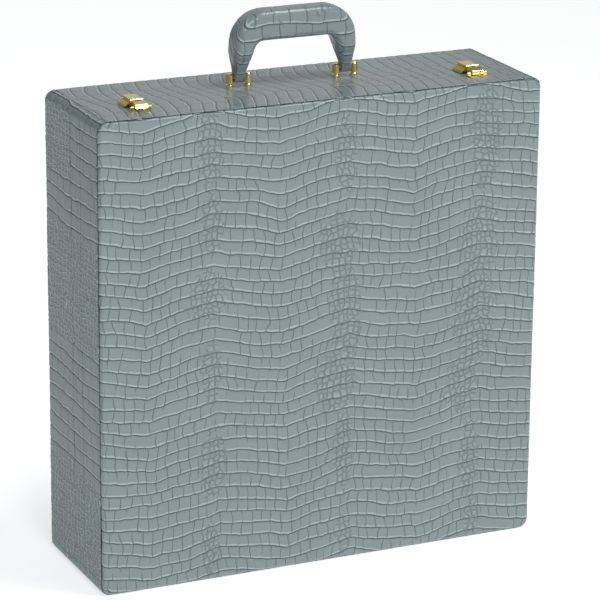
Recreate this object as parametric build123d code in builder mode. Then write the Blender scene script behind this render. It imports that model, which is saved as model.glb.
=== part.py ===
from build123d import *
import os

# Storage case for chess pieces. Millimetres; X is the width, Y the depth with the front at -Y, Z the height.
# The origin is the middle of the bottom, between the front and the back.

# Case
case_width = 425.0
case_height = 430.0
case_depth = 130.0
corner_radius = 9.0
lid_depth = 42.5
seam_gap = 0.4

# Boards and coverings
board_thickness = 6.0
panel_thickness = 5.0
cover_thickness = 1.2
padded_cover = 3.4
padded_edge_radius = 2.8
panel_inset = 1.0
strip_joint = 0.3
side_joint_y = 0.0
lining_thickness = 1.0
lid_pad_thickness = 3.0

# Piece trays
tray_gap = 2.5
tray_headroom = 4.0
tray_floor = 3.0
tray_wall = 4.0
tray_divider = 3.0
divider_recess = 3.0
tray_columns = 5
tray_rows = 3
ribbon_width = 12.0
ribbon_thickness = 0.6
ribbon_reach = 25.0
ribbon_gap = 0.1

# Bottom hinges
hinge_axis_z = 2.9
hinge_length = 38.0
hinge_inset = 72.5
hinge_count = 3
leaf_width = 16.0
leaf_thickness = 1.2
knuckle_radius = 2.4
knuckle_gap = 0.3
hinge_pin_radius = 1.2
press_gap = 0.02
running_gap = 0.05
working_gap = 0.35
vee_slope = 1.12
screw_radius = 1.0
screw_head_radius = 1.9
screw_length = 3.7
hinge_screw_inset = 9.9

# Handle
handle_setback = 30.0
handle_spacing = 103.0
handle_height = 68.0
grip_height = 27.2
grip_depth = 23.0
grip_edge_radius = 6.5
shoulder_radius = 30.0
inner_radius = 9.0
leg_outer_reach = 7.5
leg_root_reach = 14.9
leg_splay = 2.0
leg_straight = 10.4
foot_height = 5.0
foot_depth = 12.0
foot_edge_radius = 3.0
tongue_radius = 4.4
post_spacing = 17.5
post_radius = 3.4
post_neck_radius = 2.0
collar_height = 3.0
neck_height = 0.9
barrel_height = 8.7
stud_radius = 1.6
collar_bevel = 0.7
barrel_bevel = 0.4
crown_bevel = 0.9
pivot_height = 8.4
handle_pin_radius = 1.5
handle_pin_reach = 2.0
bush_wall = 0.85
plate_thickness = 1.0
plate_length = 28.0
plate_width = 12.0
nut_thickness = 1.9
nut_radius = 3.1

# Latches
latch_inset = 51.0
bed_width = 21.5
bed_length = 14.8
bed_thickness = 1.6
bed_corner = 2.0
bed_rivet_side = 8.2
bed_rivet_front = 3.2
bed_rivet_rear = 11.8
arm_width = 7.8
arm_clearance = 0.5
arm_root = 2.0
arm_eye_radius = 1.7
hasp_pivot_ahead = 7.7
hasp_pivot_height = 3.95
hasp_barrel_radius = 2.85
hasp_pin_radius = 0.8
hasp_pin_proud = 0.25
hasp_width = 11.0
hasp_under = 3.6
hasp_rear_opening = 1.0
ramp_reach = 7.3
ramp_end_height = 5.0
ridge_count = 2
ridge_pitch = 2.3
ridge_depth = 0.5
ridge_lean = 0.9
button_overhang = 4.5
button_length = 19.0
button_top = 7.4
button_travel = 3.5
button_clearance = 0.15
top_plate_width = 12.0
top_plate_thickness = 1.2
top_plate_bevel = 0.3
waist_height = 1.0
waist_depth = 0.9
step_count = 3
step_width = 1.4
step_draft = 0.35
stem_back = 8.0
stem_size = 6.0
spring_thickness = 0.3
spring_width = 6.0
spring_front = 0.5
spring_length = 4.8
spring_pocket = 1.2
strike_width = 19.0
strike_length = 7.9
strike_back = 9.8
strike_corner = 1.5
strike_thickness = 1.1
strike_rivet_side = 3.2
strike_bar_ahead = 13.2
strike_bar_height = 2.3
strike_bar_radius = 0.8
strike_lug_width = 3.5
strike_lug_radius = 1.2
rivet_radius = 1.2
rivet_head_radius = 2.2
rivet_head_thickness = 0.8

# Planes and levels that the pieces share
front_y = -case_depth / 2
back_y = case_depth / 2
parting_y = front_y + lid_depth
lid_edge_y = parting_y - seam_gap / 2
base_edge_y = parting_y + seam_gap / 2
face_board_y = front_y + padded_cover
lid_inside_y = face_board_y + panel_thickness
back_board_y = back_y - padded_cover
base_inside_y = back_board_y - panel_thickness
board_width = case_width - 2 * cover_thickness
board_height = case_height - 2 * cover_thickness
wall_total = cover_thickness + board_thickness
inside_width = case_width - 2 * wall_total
inside_height = case_height - 2 * wall_total
lined_width = inside_width - 2 * lining_thickness
lined_height = inside_height - 2 * lining_thickness
handle_y = parting_y + handle_setback
pivot_z = case_height + pivot_height
latch_centres = (latch_inset - case_width / 2, case_width / 2 - latch_inset)
leg_centres = (-handle_spacing / 2, handle_spacing / 2)
hinge_spacing = (case_width - 2 * hinge_inset) / (hinge_count - 1)
hinge_centres = [hinge_inset - case_width / 2 + i * hinge_spacing for i in range(hinge_count)]
post_centres = [leg + side * post_spacing / 2 for leg in leg_centres for side in (-1, 1)]
under_board_z = case_height - wall_total

os.makedirs("parts", exist_ok=True)


def write(piece, name):
    piece.part.label = name
    export_step(piece.part, f"parts/{name}.step")


def depth_plane(y):
    """Plane across the depth: local x is X, local y is Z from mid height, and extrusion runs to the front."""
    return Plane(origin=(0, y, case_height / 2), x_dir=(1, 0, 0), z_dir=(0, -1, 0))


def side_plane(x, y, z):
    """Plane across the width: local x is Y and local y is Z, from the given point."""
    return Plane(origin=(x, y, z), x_dir=(0, 1, 0), z_dir=(1, 0, 0))


# Cutters for the bottom edge: the bevels that let the lid fold down, and the seats of the hinges

vee_width = vee_slope * hinge_axis_z

with BuildPart() as bottom_vee:
    with BuildSketch(Plane.YZ.offset(-case_width / 2 - 1)):
        with BuildLine():
            Polyline(
                (lid_edge_y, hinge_axis_z),
                (base_edge_y, hinge_axis_z),
                (base_edge_y + vee_width, 0),
                (base_edge_y + vee_width, -1),
                (lid_edge_y - vee_width, -1),
                (lid_edge_y - vee_width, 0),
                close=True,
            )
        make_face()
    extrude(amount=case_width + 2)

screw_places = [
    (x + dx, side * hinge_screw_inset)
    for x in hinge_centres
    for dx in (-hinge_length / 3, 0, hinge_length / 3)
    for side in (-1, 1)
]
leaf_back_z = hinge_axis_z + leaf_thickness

with BuildPart() as hinge_seats:
    for x in hinge_centres:
        with BuildSketch(Plane.XY.offset(-1)):
            with Locations((x, parting_y)):
                Rectangle(hinge_length + 2 * knuckle_gap, 2 * (leaf_width + knuckle_gap))
        extrude(amount=leaf_back_z + 1)
        with BuildSketch(side_plane(x - hinge_length / 2 - knuckle_gap, parting_y, hinge_axis_z)):
            Circle(knuckle_radius + working_gap)
        extrude(amount=hinge_length + 2 * knuckle_gap)
    for x, dy in screw_places:
        with BuildSketch(Plane.XY.offset(leaf_back_z)):
            with Locations((x, parting_y + dy)):
                Circle(screw_radius + press_gap)
        extrude(amount=screw_length)

# Cutters for the top: the bores of the rivets and the handle studs, and the seats of the backing plates

bed_rivet_places = [
    (x + side * bed_rivet_side, base_edge_y + along)
    for x in latch_centres
    for side in (-1, 1)
    for along in (bed_rivet_front, bed_rivet_rear)
]
strike_y = parting_y - strike_back - strike_length / 2
strike_rivet_places = [(x + side * strike_rivet_side, strike_y) for x in latch_centres for side in (-1, 1)]

with BuildPart() as top_bores:
    with BuildSketch(Plane.XY.offset(case_height + 1)):
        with Locations(*bed_rivet_places, *strike_rivet_places):
            Circle(rivet_radius + press_gap)
        with Locations(*[(x, handle_y) for x in post_centres]):
            Circle(stud_radius + press_gap)
    extrude(amount=-wall_total - lining_thickness - 2)

with BuildPart() as lining_windows:
    with BuildSketch(Plane.XY.offset(under_board_z + 0.1)):
        with Locations(*[(x, handle_y) for x in leg_centres]):
            Rectangle(plate_length + 2 * knuckle_gap, plate_width + 2 * knuckle_gap)
    extrude(amount=-lining_thickness - 0.2)


# Wall boards, mitred at 45 degrees, with the corners of the case rounded off

def wall_board(name, corners, y_front, y_rear, cutters):
    half_w = board_width / 2
    half_h = board_height / 2
    inner_w = half_w - board_thickness
    inner_h = half_h - board_thickness
    (ax, ay), (bx, by) = corners
    with BuildPart() as board:
        with BuildSketch(depth_plane(y_rear)):
            RectangleRounded(board_width, board_height, corner_radius - cover_thickness)
            Polygon(
                (ax * half_w, ay * half_h),
                (bx * half_w, by * half_h),
                (bx * inner_w, by * inner_h),
                (ax * inner_w, ay * inner_h),
                mode=Mode.INTERSECT,
            )
        extrude(amount=y_rear - y_front)
        for cutter in cutters:
            add(cutter.part, mode=Mode.SUBTRACT)
    write(board, name)


wall_sides = {
    "top": ((-1, 1), (1, 1)),
    "bottom": ((1, -1), (-1, -1)),
    "left": ((-1, -1), (-1, 1)),
    "right": ((1, 1), (1, -1)),
}
wall_cutters = {"top": [top_bores], "bottom": [bottom_vee, hinge_seats], "left": [], "right": []}
for side, corners in wall_sides.items():
    wall_board(f"lid_{side}_board", corners, lid_inside_y, lid_edge_y, wall_cutters[side])
    wall_board(f"base_{side}_board", corners, base_edge_y, base_inside_y, wall_cutters[side])


# Face board and back board, glued on the edges of the wall boards

def panel_board(name, y_rear):
    with BuildPart() as board:
        with BuildSketch(depth_plane(y_rear)):
            RectangleRounded(board_width, board_height, corner_radius - cover_thickness)
        extrude(amount=panel_thickness)
    write(board, name)


panel_board("lid_face_board", lid_inside_y)
panel_board("base_back_board", back_board_y)


# Padded leatherette panels on the front and the back, set in from the sides, with their edges rolled over

def padded_panel(name, y_rear, outer_face):
    with BuildPart() as panel:
        with BuildSketch(depth_plane(y_rear)):
            RectangleRounded(
                case_width - 2 * panel_inset, case_height - 2 * panel_inset, corner_radius - panel_inset
            )
        extrude(amount=padded_cover)
        fillet(panel.faces().sort_by(Axis.Y)[outer_face].edges(), radius=padded_edge_radius)
    write(panel, name)


padded_panel("lid_face_cover", face_board_y, 0)
padded_panel("base_back_cover", back_y, -1)


# Leatherette strips glued round the walls: the side strips turn over the corners and meet the top strip

straight_width = case_width - 2 * corner_radius


def wall_strip(name, side, y_front, y_rear, cutters):
    with BuildPart() as strip:
        with BuildSketch(depth_plane(y_rear)):
            RectangleRounded(case_width, case_height, corner_radius)
            RectangleRounded(board_width, board_height, corner_radius - cover_thickness, mode=Mode.SUBTRACT)
            if side in ("top", "bottom"):
                with Locations((0, case_height / 2 if side == "top" else -case_height / 2)):
                    Rectangle(straight_width - strip_joint, 4 * cover_thickness, mode=Mode.INTERSECT)
            else:
                with Locations((-case_width / 2 if side == "left" else case_width / 2, 0)):
                    Rectangle(2 * corner_radius, case_height, mode=Mode.INTERSECT)
        extrude(amount=y_rear - y_front)
        for cutter in cutters:
            add(cutter.part, mode=Mode.SUBTRACT)
    write(strip, name)


for side, cutters in (("top", [top_bores]), ("bottom", [bottom_vee, hinge_seats])):
    wall_strip(f"lid_{side}_cover", side, face_board_y, lid_edge_y, cutters)
    wall_strip(f"base_{side}_cover", side, base_edge_y, back_board_y, cutters)
for side in ("left", "right"):
    wall_strip(f"lid_{side}_cover", side, face_board_y, lid_edge_y, [bottom_vee])
    wall_strip(f"base_{side}_front_cover", side, base_edge_y, side_joint_y - strip_joint / 2, [bottom_vee])
    wall_strip(f"base_{side}_rear_cover", side, side_joint_y + strip_joint / 2, back_board_y, [])


# Velvet linings on the inside of the walls

def wall_lining(name, y_front, y_rear):
    with BuildPart() as lining:
        with BuildSketch(depth_plane(y_rear)):
            Rectangle(inside_width, inside_height)
            Rectangle(lined_width, lined_height, mode=Mode.SUBTRACT)
        extrude(amount=y_rear - y_front)
        add(top_bores.part, mode=Mode.SUBTRACT)
        add(lining_windows.part, mode=Mode.SUBTRACT)
    write(lining, name)


floor_lining_y = base_inside_y - lining_thickness
lid_pad_y = lid_inside_y + lid_pad_thickness
wall_lining("lid_lining", lid_inside_y, lid_edge_y)
wall_lining("base_lining", base_edge_y, base_inside_y)

with BuildPart() as base_floor_lining:
    with BuildSketch(depth_plane(base_inside_y)):
        Rectangle(lined_width, lined_height)
    extrude(amount=lining_thickness)
write(base_floor_lining, "base_floor_lining")

with BuildPart() as lid_pad:
    with BuildSketch(depth_plane(lid_pad_y)):
        Rectangle(lined_width, lined_height)
    extrude(amount=lid_pad_thickness)
    fillet(lid_pad.faces().sort_by(Axis.Y)[-1].edges(), radius=lid_pad_thickness * 0.7)
write(lid_pad, "lid_pad")


# Two piece trays, stacked: a floor, four walls, and dividers that make a grid of slots

tray_width = lined_width - 2 * tray_gap
tray_height = lined_height - 2 * tray_gap
tray_depth = (floor_lining_y - lid_pad_y - tray_headroom) / 2
tray_inner_width = tray_width - 2 * tray_wall
tray_inner_height = tray_height - 2 * tray_wall
slot_width = (tray_inner_width - (tray_columns - 1) * tray_divider) / tray_columns
slot_height = (tray_inner_height - (tray_rows - 1) * tray_divider) / tray_rows
divider_depth = tray_depth - tray_floor - divider_recess
column_pitch = slot_width + tray_divider
row_pitch = slot_height + tray_divider


def piece_tray(name, y_rear):
    inside_y = y_rear - tray_floor
    with BuildPart() as floor:
        with BuildSketch(depth_plane(y_rear)):
            Rectangle(tray_width, tray_height)
        extrude(amount=tray_floor)
    write(floor, f"{name}_floor")

    with BuildPart() as walls:
        with BuildSketch(depth_plane(inside_y)):
            with Locations((0, (tray_height - tray_wall) / 2), (0, (tray_wall - tray_height) / 2)):
                Rectangle(tray_width, tray_wall)
        extrude(amount=tray_depth - tray_floor)
        with BuildSketch(depth_plane(inside_y)):
            with Locations(((tray_width - tray_wall) / 2, 0), ((tray_wall - tray_width) / 2, 0)):
                Rectangle(tray_wall, tray_inner_height - 2 * press_gap)
        extrude(amount=tray_depth - tray_floor)
    write(walls, f"{name}_walls")

    with BuildPart() as long_dividers:
        with BuildSketch(depth_plane(inside_y)):
            with GridLocations(0, row_pitch, 1, tray_rows - 1):
                Rectangle(tray_inner_width, tray_divider)
        extrude(amount=divider_depth)
    write(long_dividers, f"{name}_long_dividers")

    with BuildPart() as short_dividers:
        with BuildSketch(depth_plane(inside_y)):
            with GridLocations(column_pitch, row_pitch, tray_columns - 1, tray_rows):
                Rectangle(tray_divider, slot_height - 2 * press_gap)
        extrude(amount=divider_depth)
    write(short_dividers, f"{name}_short_dividers")


upper_tray_y = floor_lining_y - tray_depth
upper_rim_y = upper_tray_y - tray_depth
piece_tray("lower_tray", floor_lining_y)
piece_tray("upper_tray", upper_tray_y)

# Two ribbon pulls glued to the side walls of the upper tray and folded over its rim

ribbon_inner_x = tray_width / 2 + ribbon_gap
ribbon_outer_x = ribbon_inner_x + ribbon_thickness

with BuildPart() as upper_tray_ribbons:
    with BuildSketch(Plane.XY.offset(case_height / 2)):
        for side in (-1, 1):
            with BuildLine():
                Polyline(
                    (side * ribbon_outer_x, parting_y),
                    (side * ribbon_outer_x, upper_rim_y - ribbon_gap - ribbon_thickness),
                    (side * (ribbon_outer_x - ribbon_reach), upper_rim_y - ribbon_gap - ribbon_thickness),
                    (side * (ribbon_outer_x - ribbon_reach), upper_rim_y - ribbon_gap),
                    (side * ribbon_inner_x, upper_rim_y - ribbon_gap),
                    (side * ribbon_inner_x, parting_y),
                    close=True,
                )
            make_face()
    extrude(amount=ribbon_width / 2, both=True)
write(upper_tray_ribbons, "upper_tray_ribbons")


# Bottom hinges: leaves let into the bottom boards, with three knuckles on a pin at each hinge

knuckle_length = hinge_length / 3
outer_knuckle = knuckle_length - knuckle_gap / 2
inner_knuckle = knuckle_length - knuckle_gap


def hinge_leaves(name, side, own_spans, other_spans):
    """Each span is the start of a knuckle from the hinge's middle, and its length."""
    with BuildPart() as leaves:
        for x in hinge_centres:
            with BuildSketch(Plane.XY.offset(hinge_axis_z)):
                with Locations((x, parting_y + side * leaf_width / 2)):
                    Rectangle(hinge_length, leaf_width)
            extrude(amount=leaf_thickness)
            for start, length in other_spans:
                with BuildSketch(side_plane(x + start - knuckle_gap, parting_y, hinge_axis_z)):
                    Circle(knuckle_radius + working_gap)
                extrude(amount=length + 2 * knuckle_gap, mode=Mode.SUBTRACT)
            for start, length in own_spans:
                with BuildSketch(side_plane(x + start, parting_y, hinge_axis_z)):
                    Circle(knuckle_radius)
                extrude(amount=length)
            bore_gap = press_gap if side > 0 else running_gap
            with BuildSketch(side_plane(x - hinge_length / 2 - 1, parting_y, hinge_axis_z)):
                Circle(hinge_pin_radius + bore_gap)
            extrude(amount=hinge_length + 2, mode=Mode.SUBTRACT)
        with Locations(Plane(origin=(0, parting_y, hinge_axis_z), x_dir=(1, 0, 0), z_dir=(0, 0, -1))):
            with Locations(*[(x, -dy) for x, dy in screw_places if dy * side > 0]):
                CounterSinkHole(
                    screw_radius + running_gap, screw_head_radius + running_gap, leaf_thickness + 1, 90
                )
    write(leaves, name)


end_spans = [(-hinge_length / 2, outer_knuckle), (hinge_length / 2 - outer_knuckle, outer_knuckle)]
middle_spans = [(-inner_knuckle / 2, inner_knuckle)]
hinge_leaves("hinge_base_leaves", 1, end_spans, middle_spans)
hinge_leaves("hinge_lid_leaves", -1, middle_spans, end_spans)

with BuildPart() as hinge_pins:
    for x in hinge_centres:
        with BuildSketch(side_plane(x - hinge_length / 2, parting_y, hinge_axis_z)):
            Circle(hinge_pin_radius)
        extrude(amount=hinge_length)
write(hinge_pins, "hinge_pins")


def hinge_screws(name, side):
    head_height = screw_head_radius - screw_radius
    with BuildPart() as screws:
        for x, dy in [place for place in screw_places if place[1] * side > 0]:
            middle = Plane(origin=(x, parting_y + dy, hinge_axis_z), x_dir=(1, 0, 0), z_dir=(0, -1, 0))
            with BuildSketch(middle):
                with BuildLine():
                    Polyline(
                        (0, 0),
                        (screw_head_radius, 0),
                        (screw_radius, head_height),
                        (screw_radius, screw_length - screw_radius),
                        (0, screw_length),
                        close=True,
                    )
                make_face()
            revolve(axis=Axis((x, parting_y + dy, 0), (0, 0, 1)))
    write(screws, name)


hinge_screws("hinge_base_screws", 1)
hinge_screws("hinge_lid_screws", -1)


# Handle hardware: four turned posts on studs, nuts and backing plates inside, and a pin through each pair

barrel_bottom = collar_height + neck_height
barrel_top = barrel_bottom + barrel_height
stud_length = wall_total + plate_thickness + nut_thickness

with BuildPart() as handle_posts:
    for x in post_centres:
        with BuildSketch(Plane(origin=(x, handle_y, case_height), x_dir=(1, 0, 0), z_dir=(0, -1, 0))):
            with BuildLine():
                Polyline(
                    (0, -stud_length),
                    (stud_radius, -stud_length),
                    (stud_radius, 0),
                    (post_radius, 0),
                    (post_radius, collar_height - collar_bevel),
                    (post_radius - collar_bevel, collar_height),
                    (post_neck_radius, collar_height),
                    (post_neck_radius, barrel_bottom),
                    (post_radius - barrel_bevel, barrel_bottom),
                    (post_radius, barrel_bottom + barrel_bevel),
                    (post_radius, barrel_top - crown_bevel),
                    (post_radius - crown_bevel, barrel_top),
                    (0, barrel_top),
                    close=True,
                )
            make_face()
        revolve(axis=Axis((x, handle_y, 0), (0, 0, 1)))
    for leg in leg_centres:
        with BuildSketch(side_plane(leg - post_spacing / 2 - handle_pin_reach, handle_y, pivot_z)):
            Circle(handle_pin_radius + press_gap)
        extrude(amount=post_spacing + 2 * handle_pin_reach, mode=Mode.SUBTRACT)
write(handle_posts, "handle_posts")

with BuildPart() as handle_pins:
    for leg in leg_centres:
        with BuildSketch(side_plane(leg - post_spacing / 2 - handle_pin_reach, handle_y, pivot_z)):
            Circle(handle_pin_radius)
        extrude(amount=post_spacing + 2 * handle_pin_reach)
write(handle_pins, "handle_pins")

with BuildPart() as handle_backing_plates:
    with BuildSketch(Plane.XY.offset(under_board_z - plate_thickness)):
        with Locations(*[(leg, handle_y) for leg in leg_centres]):
            Rectangle(plate_length, plate_width)
        with Locations(*[(x, handle_y) for x in post_centres]):
            Circle(stud_radius + press_gap, mode=Mode.SUBTRACT)
    extrude(amount=plate_thickness)
write(handle_backing_plates, "handle_backing_plates")

with BuildPart() as handle_nuts:
    with BuildSketch(Plane.XY.offset(under_board_z - plate_thickness - nut_thickness)):
        with Locations(*[(x, handle_y) for x in post_centres]):
            RegularPolygon(nut_radius, 6)
            Circle(stud_radius + press_gap, mode=Mode.SUBTRACT)
    extrude(amount=nut_thickness)
write(handle_nuts, "handle_nuts")


# Padded grip: a rolled bar with rounded shoulders, whose legs narrow every way to feet that hang between the posts

grip_top = case_height + handle_height
grip_under = grip_top - grip_height
flare_z = grip_under - leg_straight
foot_z = pivot_z + foot_height
leg_centre = handle_spacing / 2
leg_outer = leg_centre + leg_outer_reach
leg_root = leg_centre - leg_root_reach
tongue_width = post_spacing - 2 * post_radius - 2 * working_gap
leg_slant = (leg_root_reach - tongue_width / 2) / (grip_under - foot_z)
leg_inner = leg_root + leg_slant * (grip_under - flare_z)
bush_radius = handle_pin_radius + running_gap + bush_wall

with BuildPart() as beside_the_feet:
    with BuildSketch(side_plane(-leg_outer, handle_y, pivot_z)):
        with Locations((0, foot_height / 2 - tongue_radius)):
            Rectangle(2 * foot_depth, foot_height + 2 * tongue_radius)
        Circle(tongue_radius, mode=Mode.SUBTRACT)
        Polygon(
            (-tongue_radius, 0),
            (tongue_radius, 0),
            (foot_depth / 2, foot_height),
            (-foot_depth / 2, foot_height),
            align=None,
            mode=Mode.SUBTRACT,
        )
    extrude(amount=2 * leg_outer)

with BuildPart() as grip_bar:
    with BuildSketch(Plane(origin=(0, handle_y, 0), x_dir=(1, 0, 0), z_dir=(0, -1, 0))) as grip_outline:
        with BuildLine():
            Polyline(
                (-leg_outer, flare_z),
                (-leg_outer + leg_splay, grip_top),
                (leg_outer - leg_splay, grip_top),
                (leg_outer, flare_z),
                (leg_inner, flare_z),
                (leg_root, grip_under),
                (-leg_root, grip_under),
                (-leg_inner, flare_z),
                close=True,
            )
        make_face()
        fillet(grip_outline.vertices().group_by(Axis.Y)[-1], radius=shoulder_radius)
        under_corners = grip_outline.vertices().filter_by_position(Axis.Y, grip_under - 1, grip_under + 1)
        fillet(under_corners, radius=inner_radius)
    extrude(amount=grip_depth / 2, both=True)
    flat_sides = grip_bar.faces().filter_by(Axis.Y)
    rolled_edges = flat_sides.edges() - grip_bar.faces().sort_by(Axis.Z)[:2].edges()
    fillet(rolled_edges, radius=grip_edge_radius)
leg_roots = grip_bar.faces().group_by(Axis.Z)[0].sort_by(Axis.X)

with BuildPart() as grip_legs:
    for leg, root in zip(leg_centres, leg_roots):
        with BuildSketch(Plane.XY.offset(foot_z)) as foot:
            with Locations((leg, handle_y)):
                RectangleRounded(tongue_width, foot_depth, foot_edge_radius)
        extrude(amount=-foot_height - tongue_radius)
        loft(sections=[foot.sketch.face(), root])
    add(beside_the_feet.part, mode=Mode.SUBTRACT)

with BuildPart() as handle_grip:
    add(grip_bar.part)
    add(grip_legs.part)
    with BuildSketch(side_plane(-leg_outer, handle_y, pivot_z)):
        Circle(bush_radius + press_gap)
    extrude(amount=2 * leg_outer, mode=Mode.SUBTRACT)
write(handle_grip, "handle_grip")

with BuildPart() as handle_bushes:
    for leg in leg_centres:
        with BuildSketch(side_plane(leg - tongue_width / 2, handle_y, pivot_z)):
            Circle(bush_radius)
            Circle(handle_pin_radius + running_gap, mode=Mode.SUBTRACT)
        extrude(amount=tongue_width)
write(handle_bushes, "handle_bushes")


# Latches. Heights are above the top of the case, and distances run forward or back from the parting line.

button_front = -button_overhang
button_bottom = bed_thickness + button_clearance
stem_slot = stem_size + 2 * (button_travel + knuckle_gap)
spring_rear = spring_front + spring_length
hasp_slot = arm_width / 2 + knuckle_gap
nose_bottom = strike_thickness + knuckle_gap
nose_back = -strike_bar_ahead - strike_bar_radius - knuckle_gap


def latch_side(x):
    return side_plane(x, parting_y, case_height)


def latch_bed(name, x):
    """A riveted plate, with an arm that reaches over the lid and carries the eye of the hasp pin."""
    arm_front = -hasp_pivot_ahead - arm_eye_radius
    with BuildPart() as bed:
        with BuildSketch(Plane.XY.offset(case_height)):
            with Locations((x, base_edge_y + bed_length / 2)):
                RectangleRounded(bed_width, bed_length, bed_corner)
            with Locations((x, parting_y + stem_back)):
                Rectangle(stem_slot, stem_size / 2 + 2 * knuckle_gap, mode=Mode.SUBTRACT)
        extrude(amount=bed_thickness)
        with BuildSketch(latch_side(x)):
            Polygon(
                (arm_front, arm_clearance),
                (arm_root, arm_clearance),
                (arm_root, bed_thickness),
                (arm_front, bed_thickness),
                align=None,
            )
            Polygon(
                (arm_front, arm_clearance),
                (arm_front + 2 * arm_eye_radius, arm_clearance),
                (arm_front + 2 * arm_eye_radius, hasp_pivot_height),
                (arm_front, hasp_pivot_height),
                align=None,
            )
            with Locations((-hasp_pivot_ahead, hasp_pivot_height)):
                Circle(arm_eye_radius)
        extrude(amount=arm_width / 2, both=True)
        with BuildSketch(latch_side(x)):
            with Locations((-hasp_pivot_ahead, hasp_pivot_height)):
                Circle(hasp_pin_radius + press_gap)
        extrude(amount=arm_width, both=True, mode=Mode.SUBTRACT)
        rivets = [place for place in bed_rivet_places if abs(place[0] - x) < bed_width]
        with Locations(Plane.XY.offset(case_height + bed_thickness)):
            with Locations(*rivets):
                CounterSinkHole(
                    rivet_radius + press_gap, rivet_head_radius + press_gap, 2 * bed_thickness, 90
                )
    write(bed, name)


def latch_button(name, x):
    """A flat top plate over a narrow waist, and flanks that step down to each side in long ridges."""
    plate_half = top_plate_width / 2
    plate_under = button_top - top_plate_thickness
    flank_top = plate_under - waist_height
    step_height = (flank_top - button_bottom) / step_count
    outline = []
    for i in range(step_count):
        half = plate_half + (step_count - i) * step_width
        outline.append((half, button_bottom + i * step_height))
        outline.append((half - step_draft, button_bottom + (i + 1) * step_height))
    outline += [
        (plate_half - waist_depth, flank_top),
        (plate_half - waist_depth, plate_under),
        (plate_half, plate_under),
        (plate_half, button_top),
    ]
    outline = outline + [(-u, h) for u, h in reversed(outline)]
    rear_y = parting_y + button_front + button_length
    with BuildPart() as button:
        with BuildSketch(Plane(origin=(x, rear_y, case_height), x_dir=(1, 0, 0), z_dir=(0, -1, 0))):
            with BuildLine():
                Polyline(*outline, close=True)
            make_face()
        extrude(amount=button_length)
        chamfer(button.faces().sort_by(Axis.Z)[-1].edges(), length=top_plate_bevel)
        with BuildSketch(Plane.XY.offset(case_height + button_bottom)):
            with Locations((x, parting_y + spring_front + spring_length / 2)):
                Rectangle(stem_slot, spring_length + 2 * knuckle_gap)
        extrude(amount=spring_pocket, mode=Mode.SUBTRACT)
        with BuildSketch(Plane.XY.offset(case_height + button_bottom)):
            with Locations((x, parting_y + stem_back)):
                Rectangle(stem_size, stem_size / 2)
        extrude(amount=-bed_thickness)
    write(button, name)


def latch_hasp(name, x):
    """A flap on a barrel: a ramp, a front with cross ridges, and a nose that hooks over the strike bar."""
    ridges = []
    for i in range(ridge_count):
        v = -hasp_pivot_ahead - ramp_reach - i * ridge_lean
        h = ramp_end_height - i * ridge_pitch
        ridges += [
            (v, h),
            (v - ridge_depth, h - ridge_pitch * 0.25),
            (v - ridge_depth, h - ridge_pitch * 0.55),
            (v - ridge_lean * 0.4, h - ridge_pitch * 0.8),
        ]
    nose_front = ridges[-3][0]
    with BuildPart() as hasp:
        with BuildSketch(latch_side(x)):
            with BuildLine():
                Polyline(
                    (-hasp_pivot_ahead, hasp_pivot_height + hasp_barrel_radius),
                    *ridges[:-2],
                    (nose_front, nose_bottom),
                    (nose_back, nose_bottom),
                    (nose_back, hasp_under),
                    (-hasp_pivot_ahead - hasp_barrel_radius, hasp_under),
                    (-hasp_pivot_ahead, hasp_pivot_height),
                    close=True,
                )
            make_face()
            with Locations((-hasp_pivot_ahead, hasp_pivot_height)):
                Circle(hasp_barrel_radius)
        extrude(amount=hasp_width / 2, both=True)
        with BuildSketch(latch_side(x)):
            with Locations((-hasp_pivot_ahead, hasp_pivot_height)):
                Circle(arm_eye_radius + knuckle_gap)
            Polygon(
                (-hasp_pivot_ahead - arm_eye_radius - knuckle_gap, 0),
                (hasp_barrel_radius - hasp_pivot_ahead + 1, 0),
                (hasp_barrel_radius - hasp_pivot_ahead + 1, hasp_pivot_height),
                (-hasp_pivot_ahead - arm_eye_radius - knuckle_gap, hasp_pivot_height),
                align=None,
            )
            Polygon(
                (hasp_rear_opening - hasp_pivot_ahead, 0),
                (hasp_barrel_radius - hasp_pivot_ahead + 1, 0),
                (hasp_barrel_radius - hasp_pivot_ahead + 1, button_top),
                (hasp_rear_opening - hasp_pivot_ahead, button_top),
                align=None,
            )
        extrude(amount=hasp_slot, both=True, mode=Mode.SUBTRACT)
        with BuildSketch(latch_side(x)):
            with Locations((-hasp_pivot_ahead, hasp_pivot_height)):
                Circle(hasp_pin_radius + running_gap)
        extrude(amount=hasp_width, both=True, mode=Mode.SUBTRACT)
    write(hasp, name)


def latch_strike(name, x):
    """A riveted plate with a lug at each side and a bar between them, which the nose of the hasp hooks."""
    with BuildPart() as strike:
        with BuildSketch(Plane.XY.offset(case_height)):
            with Locations((x, strike_y)):
                RectangleRounded(strike_width, strike_length, strike_corner)
        extrude(amount=strike_thickness)
        rivets = [place for place in strike_rivet_places if abs(place[0] - x) < strike_width]
        with Locations(Plane.XY.offset(case_height + strike_thickness)):
            with Locations(*rivets):
                CounterSinkHole(
                    rivet_radius + press_gap, rivet_head_radius + press_gap, 2 * strike_thickness, 90
                )
        for side in (-1, 1):
            lug_x = x + side * (strike_width - strike_lug_width) / 2
            with BuildSketch(latch_side(lug_x)):
                with Locations((-strike_bar_ahead, strike_bar_height)):
                    Circle(strike_lug_radius)
                with Locations((-strike_bar_ahead, strike_bar_height / 2)):
                    Rectangle(2 * strike_lug_radius, strike_bar_height)
            extrude(amount=strike_lug_width / 2, both=True)
        with BuildSketch(latch_side(x)):
            with Locations((-strike_bar_ahead, strike_bar_height)):
                Circle(strike_bar_radius)
        extrude(amount=strike_width / 2 - strike_lug_width / 2, both=True)
    write(strike, name)


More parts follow.
